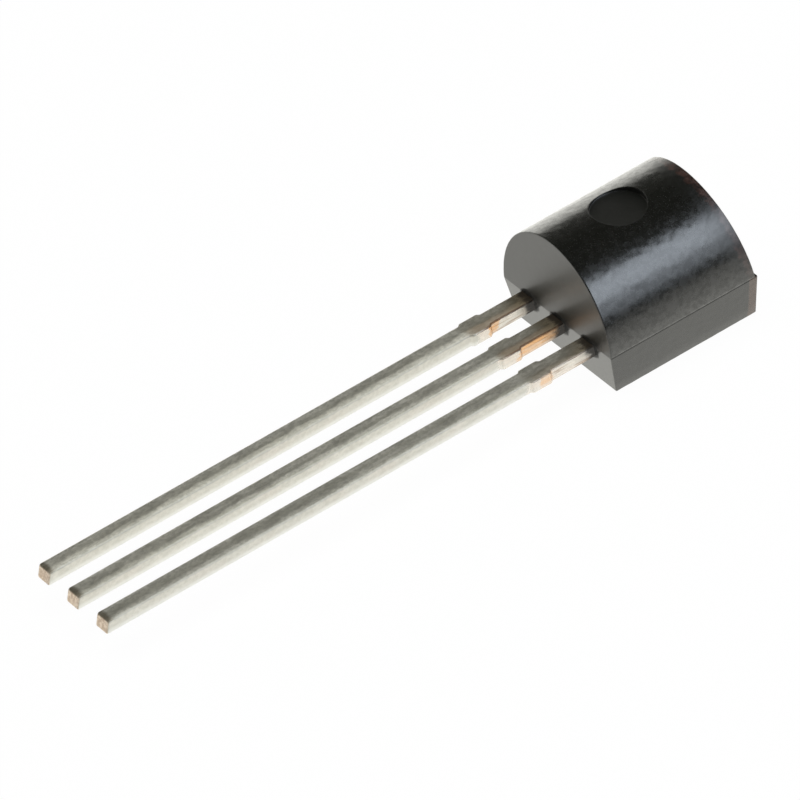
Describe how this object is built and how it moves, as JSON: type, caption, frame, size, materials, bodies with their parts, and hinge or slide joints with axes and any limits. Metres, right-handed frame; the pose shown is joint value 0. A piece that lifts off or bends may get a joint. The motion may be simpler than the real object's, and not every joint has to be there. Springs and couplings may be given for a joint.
{
  "type": "low dropout voltage regulator",
  "caption": "Small moulded voltage regulator: black half-round epoxy body with a flat face and a round mark on its crown, and a row of long straight tinned copper leads.",
  "frame": {"origin": "middle of the moulded body's flat face", "axes": "+Z out of the flat face into the body, towards the round side; the leads run along -X in one row across Y"},
  "size_m": [0.019, 0.0046, 0.0035],
  "materials": {
    "mould_compound": "semi-gloss black filled epoxy",
    "tinned_copper": "satin tin plating on copper, bare copper on sheared edges",
    "silver_glue": "matte silver-filled glue",
    "silicon": "polished",
    "gold_wire": "bright"
  },
  "bodies": {
    "root": {"package_body": "mould_compound", "output_lead": "tinned_copper", "ground_lead": "tinned_copper", "input_lead": "tinned_copper", "die_attach": "silver_glue", "die": "silicon", "output_wire": "gold_wire", "input_wire": "gold_wire", "ground_wire": "gold_wire"}
  },
  "joints": []
}
